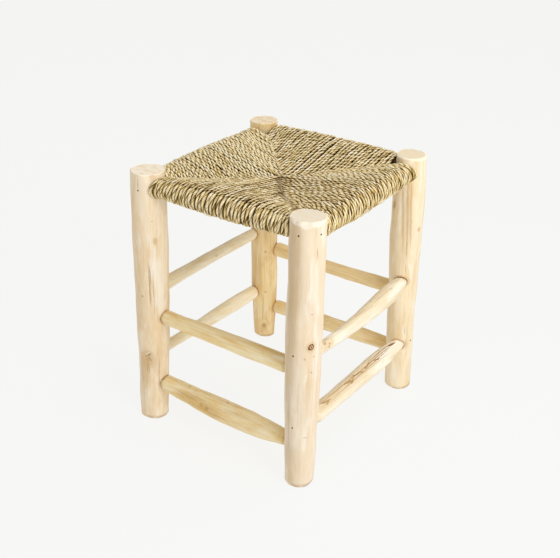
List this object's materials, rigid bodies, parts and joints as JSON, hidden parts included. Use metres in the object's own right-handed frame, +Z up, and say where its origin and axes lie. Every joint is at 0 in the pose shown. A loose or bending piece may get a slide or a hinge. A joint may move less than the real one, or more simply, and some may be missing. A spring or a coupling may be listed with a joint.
{
  "type": "woven cord stool",
  "caption": "Low square stool of peeled round poles with a wound palm cord seat and tenoned stretchers on two levels.",
  "frame": {"origin": "on the floor, under the middle of the whole stool's box", "axes": "+Z up from the feet to the seat, +X to the right and +Y to the back as one stands in front of the stool"},
  "size_m": [0.3522, 0.3772, 0.45],
  "materials": {
    "leg_wood": "peeled and scraped pale wood, bare, with drying cracks and small knots",
    "bar_wood": "peeled wood, bare, a little yellower than the legs",
    "seat_cord": "two-ply twisted palm leaf cord, dry and fibrous",
    "nail_steel": "dark oxidised wire nail"
  },
  "bodies": {
    "root": {"leg_back_left": "leg_wood", "leg_back_right": "leg_wood", "leg_front_left": "leg_wood", "leg_front_right": "leg_wood", "nail_rail_back_end": "nail_steel", "nail_rail_front_end": "nail_steel", "nail_rail_front_start": "nail_steel", "nail_rail_left_end": "nail_steel", "nail_rail_left_start": "nail_steel", "nail_rail_right_end": "nail_steel", "nail_rail_right_start": "nail_steel", "nail_stretcher_back_lower_end": "nail_steel", "nail_stretcher_front_lower_start": "nail_steel", "nail_stretcher_left_upper_start": "nail_steel", "nail_stretcher_right_lower_end": "nail_steel", "nail_stretcher_right_lower_start": "nail_steel", "nail_stretcher_right_upper_end": "nail_steel", "nail_stretcher_right_upper_start": "nail_steel", "rail_back": "bar_wood", "rail_front": "bar_wood", "rail_left": "bar_wood", "rail_right": "bar_wood", "seat_weave": "seat_cord", "stretcher_back_lower": "bar_wood", "stretcher_back_upper": "bar_wood", "stretcher_front_lower": "bar_wood", "stretcher_front_upper": "bar_wood", "stretcher_left_lower": "bar_wood", "stretcher_left_upper": "bar_wood", "stretcher_right_lower": "bar_wood", "stretcher_right_upper": "bar_wood"}
  },
  "joints": []
}
